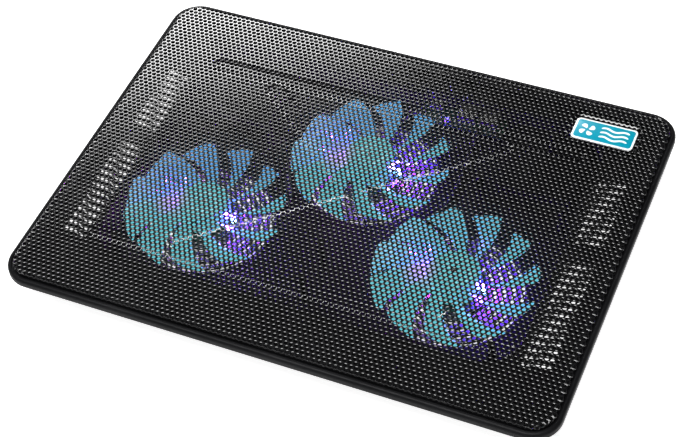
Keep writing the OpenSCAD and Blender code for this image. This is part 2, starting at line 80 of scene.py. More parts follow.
CAMERA_DEGREES = (27.26, 48.83, -5.82)   # azimuth, elevation and roll
CAMERA_DISTANCE = 1128.5
CAMERA_AIM = (4.49, -22.62, PANEL_TOP)
CAMERA_LENS = 91.09
SENSOR_WIDTH = 36.0
FLOOR_HALF = 3.0                         # metres
FLOOR_GLOW = 0.9                         # the floor's own light, so that it stays plain white


def make_camera():
    """Stands where the picture of the pad was taken from: front right, looking down at it."""
    azimuth, elevation, roll = (math.radians(a) for a in CAMERA_DEGREES)
    back = Vector((math.sin(azimuth) * math.cos(elevation), -math.cos(azimuth) * math.cos(elevation),
                   math.sin(elevation)))
    level = (-back).cross(Vector((0, 0, 1))).normalized()
    upright = level.cross(-back)
    right = level * math.cos(roll) + upright * math.sin(roll)
    up = upright * math.cos(roll) - level * math.sin(roll)
    camera = bpy.data.objects.new("camera", bpy.data.cameras.new("camera"))
    camera.data.sensor_width = SENSOR_WIDTH
    camera.data.lens = CAMERA_LENS
    camera.data.clip_start = 0.05
    camera.data.clip_end = 20.0
    place = Matrix((right, up, back)).transposed().to_4x4()
    place.translation = Vector(CAMERA_AIM) * MM + back * (CAMERA_DISTANCE * MM)
    camera.matrix_world = place
    bpy.context.scene.collection.objects.link(camera)
    bpy.context.scene.camera = camera


def area_light(name, place, aim, size, power):
    """A rectangular soft box; place, aim and size are in metres."""
    data = bpy.data.lights.new(name, "AREA")
    data.shape = "RECTANGLE"
    data.size, data.size_y = size
    data.energy = power
    light = bpy.data.objects.new(name, data)
    light.location = place
    light.rotation_mode = "QUATERNION"
    light.rotation_quaternion = (Vector(aim) - Vector(place)).to_track_quat("-Z", "Y")
    bpy.context.scene.collection.objects.link(light)


def make_lights():
    """The back left box is the one that the panel's flat areas mirror towards the camera."""
    area_light("softbox_back_left", place=(-1.0, 1.37, 1.25), aim=(-0.1, 0.08, 0.02), size=(0.9, 0.4), power=18)
    area_light("softbox_top", place=(-0.2, -0.4, 1.9), aim=(-0.2, -0.1, 0), size=(1.5, 1.1), power=52)
    area_light("fill_right", place=(1.3, -0.9, 0.9), aim=(0.05, 0, 0), size=(0.9, 0.9), power=2.5)
    area_light("fill_left", place=(-1.4, -0.7, 1.0), aim=(-0.05, 0, 0), size=(0.9, 0.9), power=4)


def make_world():
    """A white studio: pale walls near the horizon, a dim ceiling above them."""
    world = bpy.data.worlds.new("studio")
    bpy.context.scene.world = world
    world.use_nodes = True
    tree = world.node_tree
    place = tree.nodes.new("ShaderNodeTexCoord")
    split = tree.nodes.new("ShaderNodeSeparateXYZ")
    fade = tree.nodes.new("ShaderNodeMapRange")
    tree.links.new(place.outputs["Generated"], split.inputs[0])
    tree.links.new(split.outputs["Z"], fade.inputs["Value"])
    for socket, value in (("From Min", 0.30), ("From Max", 0.52), ("To Min", 0.35), ("To Max", 0.05)):
        fade.inputs[socket].default_value = value
    tree.links.new(fade.outputs[0], tree.nodes["Background"].inputs["Strength"])
    tree.nodes["Background"].inputs["Color"].default_value = (1.0, 1.0, 1.0, 1)


def make_floor():
    """A plain pale floor, with the faint grain of matt paper."""
    half = FLOOR_HALF
    mesh = bpy.data.meshes.new("floor")
    mesh.from_pydata([(-half, -half, 0), (half, -half, 0), (half, half, 0), (-half, half, 0)], [],
                     [(0, 1, 2, 3)])
    floor = bpy.data.objects.new("floor", mesh)
    bpy.context.scene.collection.objects.link(floor)
    paint = Paint("floor_paper", (0.6, 0.6, 0.6), 0.75)
    paint.set("Emission Color", (1.0, 1.0, 1.0, 1))
    paint.set("Emission Strength", FLOOR_GLOW)
    paint.grain(900, 3, 0.05, 0.0004)
    mesh.materials.append(paint.material)


# ---------- materials ----------

class Paint:
    """A node material: one Principled shader, with helpers that add detail to it."""

    def __init__(self, name, colour, roughness, metallic=0.0, **sockets):
        self.material = bpy.data.materials.new(name)
        self.material.use_nodes = True
        self.tree = self.material.node_tree
        self.shader = self.tree.nodes["Principled BSDF"]
        self.set("Base Color", (*colour, 1))
        self.set("Roughness", roughness)
        self.set("Metallic", metallic)
        for socket, value in sockets.items():
            self.set(socket.replace("_", " "), value)
        self.place = self.add("ShaderNodeTexCoord").outputs["Object"]

    def set(self, socket, value):
        self.shader.inputs[socket].default_value = value

    def add(self, kind, settings=None, **inputs):
        """A new node; inputs are sockets to link from, or values."""
        node = self.tree.nodes.new(kind)
        for key, value in (settings or {}).items():
            setattr(node, key, value)
        for key, value in inputs.items():
            socket = node.inputs[key.replace("_", " ")]
            if isinstance(value, bpy.types.NodeSocket):
                self.tree.links.new(value, socket)
            else:
                socket.default_value = value
        return node

    def link(self, output, socket):
        self.tree.links.new(output, self.shader.inputs[socket])

    def combine(self, operation, first, second):
        """One number from two sockets, such as their product."""
        node = self.add("ShaderNodeMath", {"operation": operation}, Value=first)
        self.tree.links.new(second, node.inputs[1])
        return node.outputs[0]

    def measure(self, operation, place, point):
        """One number for each place, such as its distance from a point, in metres."""
        node = self.add("ShaderNodeVectorMath", {"operation": operation}, Vector=place)
        node.inputs[1].default_value = point
        return node.outputs["Value"]

    def noise(self, cells, detail, stretch=(1, 1, 1)):
        """Noise from 0 to 1 at so many cells a metre, drawn out along an axis where stretch is small."""
        mapped = self.add("ShaderNodeMapping", Vector=self.place, Scale=stretch)
        node = self.add("ShaderNodeTexNoise", Vector=mapped.outputs[0], Scale=cells, Detail=detail)
        return node.outputs["Fac"]

    def ramp(self, factor, low, high, out_low=0.0, out_high=1.0):
        """Maps the range from low to high onto the one from out_low to out_high."""
        node = self.add("ShaderNodeMapRange", Value=factor)
        for i, value in enumerate((low, high, out_low, out_high)):
            node.inputs[i + 1].default_value = value
        return node.outputs[0]

    def blend(self, factor, first, second):
        """A colour between two, as factor goes from 0 to 1; each is a colour or a socket."""
        node = self.add("ShaderNodeMix", {"data_type": "RGBA"})
        self.tree.links.new(factor, node.inputs[0])
        for socket, value in ((node.inputs[6], first), (node.inputs[7], second)):
            if isinstance(value, bpy.types.NodeSocket):
                self.tree.links.new(value, socket)
            else:
                socket.default_value = (*value, 1)
        return node.outputs[2]

    def mottle(self, cells, detail, span, first, second):
        """Lets the base colour wander between two, as the noise goes through the span."""
        self.link(self.blend(self.ramp(self.noise(cells, detail), *span), first, second), "Base Color")

    def wear(self, cells, detail, span, smoothest, roughest):
        """Lets the roughness wander between two values, as the noise goes through the span."""
        self.link(self.ramp(self.noise(cells, detail), *span, smoothest, roughest), "Roughness")

    def bump(self, height, strength, distance):
        """Relief, over a soft edge if there is one; distance in metres is what height 1 stands for."""
        node = self.add("ShaderNodeBump", Height=height, Strength=strength, Distance=distance)
        before = self.shader.inputs["Normal"].links
        if before:
            self.tree.links.new(before[0].from_socket, node.inputs["Normal"])
        self.link(node.outputs[0], "Normal")

    def grain(self, cells, detail, strength, distance):
        """Relief from noise."""
        self.bump(self.noise(cells, detail), strength, distance)

    def soft_edges(self, radius):
        """Rounds the shading of sharp edges, as a moulding's edges are."""
        node = self.add("ShaderNodeBevel", {"samples": 4}, Radius=radius)
        self.link(node.outputs[0], "Normal")

    def spark_texture(self):
        """The fine skin that a spark-eroded mould leaves."""
        self.grain(2600, 4, 0.6, 0.00004)


FLOW_MARKS = (22, 3, (0.35, 0.7))        # cells, detail and span of a moulding's flow marks
HANDLING = (150, 4, (0.3, 0.75))         # the same for the places that hands have polished
EDGE_WEAR = 0.0004                       # metres
TRAY_BLACK = (0.003, 0.003, 0.0035)
TRAY_FLOW = (0.006, 0.006, 0.0065)
# Painted lamp glow: the lamps' violet light on the shell's upward faces under the fans is painted into its
# colour
TRAY_PAINTED_GLOW = (0.16, 0.15, 0.19)
TRAY_PAINTED_GLOW_EDGE = (0.043, 0.048)               # metres from a fan's axis, where the painted lamp glow ends
TRAY_PAINTED_GLOW_FACING = (0.4, 0.6)                   # the normal's upward share, from no painted glow to full painted glow


def moulded_plastic(name, colour, roughness, edge=EDGE_WEAR, gloss=0.5):
    """Injection-moulded plastic: fine spark-eroded texture, slight flow marks, edges worn smoother."""
    paint = Paint(name, colour, roughness, Specular_IOR_Level=gloss)
    if edge:
        paint.soft_edges(edge)
    paint.spark_texture()
    paint.mottle(*FLOW_MARKS, colour, tuple(min(1.0, c * 1.45 + 0.004) for c in colour))
    paint.wear(*HANDLING, roughness - 0.07, roughness + 0.1)
    return paint.material


def tray_plastic_painted_glow():
    """The shell's black plastic, with the lamps' light painted on as a lighter tone on its upward faces under
    the fans.
    """
    paint = Paint("shell_plastic", TRAY_BLACK, 0.6, Specular_IOR_Level=0.08)
    paint.soft_edges(EDGE_WEAR)
    paint.spark_texture()
    low = lows("bottom_shell")[2]
    near, *others = (paint.measure("DISTANCE", paint.place, (centre[0] * MM, centre[1] * MM, low * MM))
                     for centre in FANS.values())
    for gap in others:
        near = paint.combine("MINIMUM", near, gap)
    normal = paint.add("ShaderNodeNewGeometry").outputs["Normal"]
    facing = paint.add("ShaderNodeSeparateXYZ", Vector=normal).outputs["Z"]
    # painted lamp glow: a lighter tone painted on upward faces near each fan's axis
    painted_lamp_glow = paint.combine("MULTIPLY", paint.ramp(near, *TRAY_PAINTED_GLOW_EDGE, 1.0, 0.0), paint.ramp(facing, *TRAY_PAINTED_GLOW_FACING))
    cells, detail, span = FLOW_MARKS
    black = paint.blend(paint.ramp(paint.noise(cells, detail), *span), TRAY_BLACK, TRAY_FLOW)
    paint.link(paint.blend(painted_lamp_glow, black, TRAY_PAINTED_GLOW), "Base Color")
    paint.wear(*HANDLING, 0.53, 0.7)
    return paint.material


def powder_coat():
    """Satin black powder coat on the steel panel: orange-peel relief and faint handling marks."""
    paint = Paint("powder_coat", (0.006, 0.006, 0.0065), 0.3, Specular_IOR_Level=1.0)
    paint.grain(1900, 3, 0.35, 0.00005)
    paint.wear(45, 5, (0.35, 0.72), 0.13, 0.18)
    paint.mottle(12, 2, (0.3, 0.7), (0.005, 0.005, 0.0055), (0.009, 0.009, 0.010))
    return paint.material


def metal(name, colour, roughness, brushed=(1, 1, 1)):
    """Bare metal with tool marks drawn out along one axis and slight staining."""
    paint = Paint(name, colour, roughness, 1.0)
    lines = paint.noise(1800, 3, brushed)
    paint.bump(lines, 0.4, 0.00002)
    paint.mottle(160, 4, (0.35, 0.7), tuple(c * 0.75 for c in colour), colour)
    paint.link(paint.ramp(lines, 0.3, 0.7, roughness - 0.08, roughness + 0.12), "Roughness")
    return paint.material


def rubber():
    """Black rubber with a dull bloom and rough skin."""
    black = (0.014, 0.014, 0.015)
    paint = Paint("rubber_black", black, 0.78)
    paint.soft_edges(0.0003)
    paint.grain(3200, 3, 0.5, 0.00005)
    bloom = paint.ramp(paint.noise(70, 4), 0.4, 0.75)
    paint.link(paint.blend(bloom, black, tuple(c * 2.4 for c in black)), "Base Color")
    paint.link(paint.ramp(bloom, 0, 1, 0.7, 0.9), "Roughness")
    return paint.material


# Painted lamp light: the impeller's emission stands in for the lamps' light shining through the blades
PAINTED_GLOW_TEAL = (0.15, 0.53, 0.57)
PAINTED_GLOW_BLUE = (0.12, 0.35, 0.65)
PAINTED_GLOW_VIOLET = (0.66, 0.42, 0.85)
PAINTED_GLOW_STRENGTH = 1.1
PAINTED_BLUE_WAY = (-0.46, 0.89)                 # the direction, seen from above, in which the painted glow turns bluer
PAINTED_BLUE_SPAN = (-0.004, 0.03)               # metres from the axis that way, from no painted blue to full painted blue
PAINTED_BLUE_GLOW = {"left": 1.0, "rear": 0.9, "right": 0.25}
PAINTED_BLUE_HUB_SPAN = (0.0165, 0.019)               # metres from the hub's top, from no painted blue to full painted blue
PAINTED_VIOLET_PLACE = (-0.021, -0.006, 0.022)   # metres from the axis, and height: just over the left lamp, the middle of the painted violet patch
PAINTED_VIOLET_SPAN = (0.004, 0.014)             # metres from there, from most painted violet to none
PAINTED_VIOLET_MOST = 0.8


def impeller_plastic_painted_glow(side):
    """Translucent moulding whose glow is the lamps' light painted on as emission: teal, bluer at the back,
    violet near a lamp.

    The painted colours follow places in the case, so they stay there when the impeller turns."""
    paint = Paint(f"impeller_plastic_painted_glow_{side}", (0.03, 0.10, 0.15), 0.3, Subsurface_Weight=0.3,
                  Subsurface_Scale=0.003, Subsurface_Radius=(0.7, 0.9, 1.0), Emission_Strength=PAINTED_GLOW_STRENGTH)
    x, y = FANS[side][:2] * MM
    place = paint.add("ShaderNodeNewGeometry").outputs["Position"]
    behind = paint.measure("DOT_PRODUCT", place, (*PAINTED_BLUE_WAY, 0))
    middle = PAINTED_BLUE_WAY[0] * x + PAINTED_BLUE_WAY[1] * y
    # painted light: bluer towards the back of each fan, though not on the hub's top
    back = paint.ramp(behind, middle + PAINTED_BLUE_SPAN[0], middle + PAINTED_BLUE_SPAN[1], 0.0, PAINTED_BLUE_GLOW[side])
    off_hub = paint.ramp(paint.measure("DISTANCE", place, (x, y, HUB_TOP * MM)), *PAINTED_BLUE_HUB_SPAN)
    glow = paint.blend(paint.combine("MULTIPLY", back, off_hub), PAINTED_GLOW_TEAL, PAINTED_GLOW_BLUE)
    # painted light: a violet patch over the left lamp
    lamp = paint.measure("DISTANCE", place, (x + PAINTED_VIOLET_PLACE[0], y + PAINTED_VIOLET_PLACE[1], PAINTED_VIOLET_PLACE[2]))
    violet = paint.ramp(lamp, *PAINTED_VIOLET_SPAN, PAINTED_VIOLET_MOST, 0.0)
    paint.link(paint.blend(violet, glow, PAINTED_GLOW_VIOLET), "Emission Color")
    paint.mottle(60, 3, (0.3, 0.7), (0.025, 0.08, 0.13), (0.035, 0.11, 0.17))
    paint.wear(240, 3, (0.3, 0.7), 0.26, 0.4)
    paint.grain(700, 2, 0.15, 0.00005)
    return paint.material


def lamp_glass(name, colour, strength):
    """Clear lamp body, lit from inside."""
    paint = Paint(name, (0.8, 0.85, 1.0), 0.12, Emission_Color=(*colour, 1), Emission_Strength=strength)
    paint.wear(500, 2, (0.3, 0.7), 0.08, 0.2)
    paint.grain(1200, 2, 0.1, 0.00002)
    return paint.material


def circuit_board():
    """Green solder mask over copper tracks that run square to the board's edges."""
    paint = Paint("circuit_board", (0.02, 0.10, 0.055), 0.3, Coat_Weight=0.3)
    brick = paint.add("ShaderNodeTexBrick", {"offset": 0.37, "squash": 0.6}, Vector=paint.place, Scale=420.0)
    tracks = brick.outputs["Fac"]
    paint.link(paint.blend(tracks, (0.006, 0.03, 0.017), (0.012, 0.05, 0.028)), "Base Color")
    paint.bump(tracks, 0.4, 0.00003)
    paint.wear(300, 3, (0.3, 0.7), 0.22, 0.42)
    return paint.material


def layers(paint, per_metre, distortion=0.0):
    """Fine bands, one above the other."""
    wave = paint.add("ShaderNodeTexWave", {"bands_direction": "Z"}, Vector=paint.place, Scale=per_metre,
                     Distortion=distortion)
    return wave.outputs["Fac"]


def winding():
    """Enamelled copper wire, laid turn beside turn."""
    paint = Paint("copper_winding", (0.62, 0.25, 0.1), 0.3, 1.0)
    turns = layers(paint, 1400.0, 0.6)
    paint.bump(turns, 0.8, 0.0001)
    paint.link(paint.blend(turns, (0.35, 0.12, 0.05), (0.75, 0.34, 0.15)), "Base Color")
    return paint.material


def lamination():
    """Stamped steel sheets stacked up."""
    steel = (0.42, 0.43, 0.45)
    paint = Paint("lamination", steel, 0.4, 1.0)
    paint.bump(layers(paint, 640.0), 0.7, 0.0001)
    paint.mottle(300, 4, (0.4, 0.7), steel, (0.2, 0.19, 0.18))
    return paint.material


def printed(name, colour):
    """Printed and clear-coated badge stock, a little cloudy."""
    paint = Paint(name, colour, 0.28, Coat_Weight=0.4, Coat_Roughness=0.12)
    paint.mottle(260, 3, (0.3, 0.7), tuple(c * 0.9 for c in colour), colour)
    paint.grain(900, 2, 0.12, 0.00003)
    return paint.material


# ---------- mesh building ----------

def add_mesh(name, verts, faces, material, sharp):
    """A mesh object from vertices in millimetres; edges that turn more than sharp degrees stay sharp."""
    mesh = bpy.data.meshes.new(name)
    mesh.from_pydata((np.asarray(verts) * MM).tolist(), [], faces)
    mesh.validate()
    mesh.materials.append(material)
    mesh.polygons.foreach_set("use_smooth", [True] * len(mesh.polygons))
    mesh.update()
    thing = bpy.data.objects.new(name, mesh)
    bpy.context.scene.collection.objects.link(thing)
    mesh.set_sharp_from_angle(angle=math.radians(sharp))
    return thing


def joined(parts):
    """One list of vertices and one of faces, from several pairs of them."""
    verts, faces = [], []
    for more, sides in parts:
        faces += [tuple(i + len(verts) for i in f) for f in sides]
        verts += more
    return verts, faces


# ---------- perforated panel ----------

HOLE_PITCH = 3.6
ROW_PITCH = HOLE_PITCH * math.sqrt(3) / 2
HOLE_R = 1.3
HOLE_STEPS = 12
HOLE_MARGIN = 0.5            # least metal between a hole and the sheet's edge
ROLL_R = 1.62                # radius at which the sheet starts to roll down into a punched hole
ROLL_DROP = 0.16
SHEET_T = 0.8
EDGE_R = 2.0                 # bend radius of the turned-down edge
EDGE_ARC = EDGE_R * math.pi / 2
EDGE_LIP = 1.6               # straight part below the bend
SHEET_REACH = EDGE_ARC + EDGE_LIP        # from the flat area to the sheet's edge, before it is bent
CORNER_R = 16.1              # outer corner radius of the sheet, seen from above
CHANNEL_DEPTH = 0.3
CHANNEL_SLOPE = 1.8          # width of a channel's sloping side
REAR_CHANNEL = ((0, 83.5), 276, 9)       # middle, length and width
FRONT_CHANNEL = ((0, -86), 296, 8)
CROSS_CHANNEL = (238, 11.2)  # length and width of each arm
CROSS_TURN = 39.3
CROSS_SHIFT = -4.5           # from the arms' crossing to each arm's middle
CROSS_Y = 4
RECESS_DEPTH = 0.8
RECESS_SLOPE = 1.1
RECESS_R = 5.0
BADGE_GAP = 2.5              # from the badge to the edge of its recess
CELL_LEAST = 0.05            # cells with less area are squeezed flat at the sheet's edge and left out
WALL_LEAST = 1e-4            # the same for the length of a wall
PANEL_SHARP = 20


def outline_gap(p):
    """Distance past the panel's flat area, and the outward direction there."""
    r = CORNER_R - EDGE_R
    half = PANEL_HI[:2] - EDGE_R - r
    q = np.abs(p) - half
    inside = np.minimum(np.max(q, axis=1), 0)
    out = np.maximum(q, 0)
    gap = np.hypot(out[:, 0], out[:, 1]) + inside - r
    way = np.where((q.max(1) <= 0)[:, None], (q == q.max(1, keepdims=True)).astype(float), out)
    way *= np.sign(p)
    return gap, way / np.maximum(np.linalg.norm(way, axis=1, keepdims=True), 1e-9)


def slot_gap(p, centre, length, width, turn=0.0, square=False):
    """Signed distance to a slot with round or square ends."""
    c, s = math.cos(turn), math.sin(turn)
    d = p - np.array(centre)
    x = np.abs(d[:, 0] * c + d[:, 1] * s)
    y = np.abs(-d[:, 0] * s + d[:, 1] * c)
    if square:
        return np.maximum(x - length / 2, y - width / 2)
    return np.hypot(np.maximum(x - (length - width) / 2, 0), y) - width / 2


def recess_gap(p):
    """Signed distance to the round-cornered recess that the badge lies in."""
    lo, hi = lows("badge_plate")[:2], highs("badge_plate")[:2]
    half = (hi - lo) / 2 + BADGE_GAP - RECESS_R
    q = np.abs(p - (lo + hi) / 2) - half
    return np.hypot(*np.maximum(q, 0).T) + np.minimum(q.max(1), 0) - RECESS_R


def pressed(gap, slope, depth):
    """Depth of a pressed shape at a signed distance from its outline."""
    t = np.clip(0.5 - gap / slope, 0, 1)
    return depth * t * t * (3 - 2 * t)


def sheet_drop(p):
    """How far the panel is pressed down at each point."""
    gap = np.minimum(slot_gap(p, *REAR_CHANNEL), slot_gap(p, *FRONT_CHANNEL))
    for side in (-1, 1):
        turn = side * math.radians(CROSS_TURN)
        shift = side * CROSS_SHIFT
        middle = (shift * math.cos(turn), CROSS_Y + shift * math.sin(turn))
        gap = np.minimum(gap, slot_gap(p, middle, *CROSS_CHANNEL, turn, square=True))
    return np.maximum(pressed(gap, CHANNEL_SLOPE, CHANNEL_DEPTH),
                      pressed(recess_gap(p), RECESS_SLOPE, RECESS_DEPTH))


def form_sheet(p, under, sunk=0.0):
    """Bends flat sheet points into the panel; under is 0 on the upper face and 1 on the lower."""
    gap, way = outline_gap(p)
    turned = np.clip(gap, 0, EDGE_ARC) / EDGE_R
    down = np.maximum(gap - EDGE_ARC, 0)
    radius = EDGE_R - SHEET_T * under - sunk
    flat = p - way * np.maximum(gap, 0)[:, None]
    plan = flat + way * (radius * np.sin(turned))[:, None]
    height = PANEL_TOP - EDGE_R + radius * np.cos(turned) - down - sheet_drop(p)
    return np.column_stack([plan, height])


def cell_centres():
    """Centres of the holes' cells, which cover the sheet before its edge is bent."""
    rows = int(PANEL_HI[1] // ROW_PITCH) + 3
    columns = int(PANEL_HI[0] // HOLE_PITCH) + 3
    centres = np.array([((i + 0.5 * (j % 2)) * HOLE_PITCH, j * ROW_PITCH)
                        for j in range(-rows, rows + 1) for i in range(-columns, columns + 1)])
    gap, _ = outline_gap(centres)
    return centres[gap < SHEET_REACH + HOLE_PITCH * 0.55]


def rings(centres, radius, count):
    """Points round each centre; the first one stands at 30 degrees."""
    angles = np.radians(30 + 360 / count * np.arange(count))
    return centres[:, None] + radius * np.column_stack([np.cos(angles), np.sin(angles)])


def hexagons(centres):
    """The cells' corners, each point once and none past the sheet's edge, and the six of each cell."""
    corners = rings(centres, HOLE_PITCH / math.sqrt(3), 6).reshape(-1, 2)
    points, index = np.unique(np.round(corners, 3), axis=0, return_inverse=True)
    gap, way = outline_gap(points)
    return points - way * np.maximum(gap - SHEET_REACH, 0)[:, None], index.reshape(-1, 6)


def faces_round_holes(corners, holes):
    """Six faces in each cell, from its corners to the points of its hole."""
    faces = []
    for k in range(6):
        a, b = corners[:, k], corners[:, (k + 1) % 6]
        h0, h1, h2 = (holes[:, (2 * k + j) % HOLE_STEPS] for j in range(3))
        faces.append(np.column_stack([a, b, h2, h1, h0]))
    return np.concatenate(faces)


def hole_walls(holes, under, mouth):
    """The rolled rim of each hole and the wall below it; under and mouth lead on to those points."""
    first, second = holes.ravel(), np.roll(holes, -1, 1).ravel()
    rolled = np.column_stack([first, second, second + mouth, first + mouth])
    walls = np.column_stack([first + mouth, second + mouth, second + under, first + under])
    return rolled, walls


def polygon_area(points, index):
    """Areas of flat polygons, by the shoelace rule."""
    x, y = points[index, 0], points[index, 1]
    return 0.5 * np.abs((x * np.roll(y, -1, 1) - y * np.roll(x, -1, 1)).sum(1))


def border_walls(upper, closed, verts, n):
    """Walls along the piece's outer edge, on vertices of their own so that they don't round its shading."""
    first = np.concatenate([upper[:, 0], closed.ravel()])
    second = np.concatenate([upper[:, 1], np.roll(closed, -1, 1).ravel()])
    key = np.minimum(first, second) * (2 * n) + np.maximum(first, second)
    _, at, count = np.unique(key, return_index=True, return_counts=True)
    at = at[count == 1]
    a, b = first[at], second[at]
    keep = np.linalg.norm(verts[a] - verts[b], axis=1) > WALL_LEAST
    a, b = a[keep], b[keep]
    fresh = np.concatenate([verts[b], verts[a], verts[a + n], verts[b + n]])
    walls = len(verts) + np.column_stack([np.arange(len(a)) + len(a) * k for k in range(4)])
    return walls, fresh


def panel_piece(name, centres, material):
    """One part of the sheet, with real round holes whose upper rims are rolled in, as a closed shell."""
    flat, cells = hexagons(centres)
    gap, _ = outline_gap(centres)
    drilled = gap < SHEET_REACH - HOLE_R - HOLE_MARGIN
    rims, holes = (rings(centres[drilled], r, HOLE_STEPS).reshape(-1, 2) for r in (ROLL_R, HOLE_R))
    n = len(flat) + len(holes)
    verts = np.concatenate([form_sheet(flat, 0), form_sheet(rims, 0),
                            form_sheet(np.concatenate([flat, holes]), 1), form_sheet(holes, 0, ROLL_DROP)])
    numbers = len(flat) + np.arange(len(holes)).reshape(-1, HOLE_STEPS)
    upper = faces_round_holes(cells[drilled], numbers)
    closed = cells[~drilled]
    closed = closed[polygon_area(flat, closed) > CELL_LEAST]
    rolled, walls = hole_walls(numbers, n, 2 * n - len(flat))
    edge, edge_verts = border_walls(upper, closed, verts, n)
    groups = (upper, closed, upper[:, ::-1] + n, closed[:, ::-1] + n, rolled, walls, edge)
    faces = [face for group in groups for face in group.tolist()]
    piece = add_mesh(name, np.concatenate([verts, edge_verts]), faces, material, PANEL_SHARP)
    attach(piece, CASE)
    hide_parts("mesh_panel")


def make_panel():
    """The panel in six pieces, so that no mesh grows too large."""
    material = powder_coat()
    centres = cell_centres()
    third = PANEL_HI[0] / 3
    column = (centres[:, 0] > -third).astype(int) + (centres[:, 0] > third)
    for i, across in enumerate(("left", "middle", "right")):
        for j, along in enumerate(("front", "rear")):
            chosen = (column == i) & ((centres[:, 1] > 0) == bool(j))
            panel_piece(f"perforated_panel_{along}_{across}", centres[chosen], material)


# ---------- badge ----------

BADGE_WHITE = (0.86, 0.88, 0.89)
BADGE_TEAL = (0.0, 0.31, 0.42)
PLATE_R = 3
PLATE_BEVEL = 0.3
PLATE_SUNK = 0.12            # from the sign's top down to the plate's
FACE_R = 2
FACE_BEVEL = 0.1
FACE_SUNK = 0.06
FACE_FOOT = 0.3              # from the sign's top down to the face's underside
SIGN_T = 0.1
BADGE_SHARP = 40
CORNER_STEPS = 8
FAN_SIGN = (-12.2, 0)        # its middle, from the badge's
PETALS = 4
PETAL_SIZE = 6.3
PETAL_STEPS = 28
LINE_ENDS = (-3.2, 16.6)
LINE_SPACING = 4.1
LINE_SWING = 0.9
LINE_WIDTH = 1.7
LINE_WAVES = 1.5
LINE_STEPS = 36


def rounded_outline(width, depth, radius):
    """Corner points of a rectangle with round corners, anticlockwise."""
    points = []
    for corner, (sx, sy) in enumerate(((1, 1), (-1, 1), (-1, -1), (1, -1))):
        for k in range(CORNER_STEPS + 1):
            a = math.radians(90 * (corner + k / CORNER_STEPS))
            points.append((sx * (width / 2 - radius) + radius * math.cos(a),
                           sy * (depth / 2 - radius) + radius * math.sin(a)))
    return points


def stacked(outlines):
    """A closed solid from (outline, height) pairs of equal length, from the bottom up."""
    n, count = len(outlines[0][0]), len(outlines)
    verts = [(x, y, z) for outline, z in outlines for x, y in outline]
    faces = [tuple(range(n - 1, -1, -1)), tuple(range(n * (count - 1), n * count))]
    for i in range(count - 1):
        for k in range(n):
            a, b = i * n + k, i * n + (k + 1) % n
            faces.append((a, b, b + n, a + n))
    return verts, faces


def tile(width, depth, radius, low, high, bevel):
    """A plate with a rounded upper edge."""
    steps = [(0.0, low), (0.0, high - bevel)]
    steps += [(bevel * (1 - math.cos(math.radians(a))), high - bevel * (1 - math.sin(math.radians(a))))
              for a in (30, 60, 90)]
    return stacked([(rounded_outline(width - 2 * inset, depth - 2 * inset, radius - inset), z)
                    for inset, z in steps])


def airflow_line(y, low, high):
    """A wavy bar with round ends."""
    x0, x1 = LINE_ENDS
    left, right = [], []
    for k in range(LINE_STEPS + 1):
        t = k / LINE_STEPS
        phase = 2 * math.pi * LINE_WAVES * t
        slope = LINE_SWING * 2 * math.pi * LINE_WAVES / (x1 - x0) * math.cos(phase)
        half = LINE_WIDTH / 2 * math.sqrt(max(0.02, 1 - abs(2 * t - 1) ** 14))
        nx, ny = -slope / math.hypot(slope, 1), 1 / math.hypot(slope, 1)
        x, middle = x0 + (x1 - x0) * t, y + LINE_SWING * math.sin(phase)
        left.append((x + nx * half, middle + ny * half))
        right.append((x - nx * half, middle - ny * half))
    outline = right + left[::-1]
    return stacked([(outline, low), (outline, high)])


def petal(turn, low, high):
    """One blade of the fan sign: a drop shape that leans over as it goes outwards."""
    x, y = FAN_SIGN
    outline = []
    for k in range(PETAL_STEPS):
        a = 2 * math.pi * k / PETAL_STEPS
        r = PETAL_SIZE * (0.56 + 0.36 * math.cos(a))
        side = PETAL_SIZE * 0.27 * math.sin(a) * (1 + 0.5 * math.cos(a))
        b = turn + 0.35 * r / PETAL_SIZE
        outline.append((x + r * math.cos(b) - side * math.sin(b), y + r * math.sin(b) + side * math.cos(b)))
    return stacked([(outline, low), (outline, high)])


def badge_piece(name, shape, node, material):
    """A piece of the badge, from a shape that is drawn round the badge's middle."""
    verts, faces = shape
    centre = (lows(node) + highs(node)) / 2
    piece = add_mesh(name, np.array(verts) + [centre[0], centre[1], 0], faces, material, BADGE_SHARP)
    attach(piece, CASE)
    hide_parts(node)


def make_badge():
    """White plate with a raised rim, a turquoise face, and a fan sign beside three airflow lines."""
    white = printed("badge_white", BADGE_WHITE)
    plate = (highs("badge_plate") - lows("badge_plate"))[:2]
    face = (highs("badge_face") - lows("badge_face"))[:2]
    foot, top = lows("badge_plate")[2], highs("badge_face")[2]
    badge_piece("badge_plate_moulding", tile(*plate, PLATE_R, foot, top - PLATE_SUNK, PLATE_BEVEL),
                "badge_plate", white)
    badge_piece("badge_face_print", tile(*face, FACE_R, top - FACE_FOOT, top - FACE_SUNK, FACE_BEVEL),
                "badge_face", printed("badge_teal", BADGE_TEAL))
    sign = [petal(2 * math.pi * k / PETALS + 0.4, top - SIGN_T, top) for k in range(PETALS)]
    sign += [airflow_line(y, top - SIGN_T, top) for y in (-LINE_SPACING, 0, LINE_SPACING)]
    badge_piece("badge_sign", joined(sign), "badge_face", white)


# ---------- impellers ----------

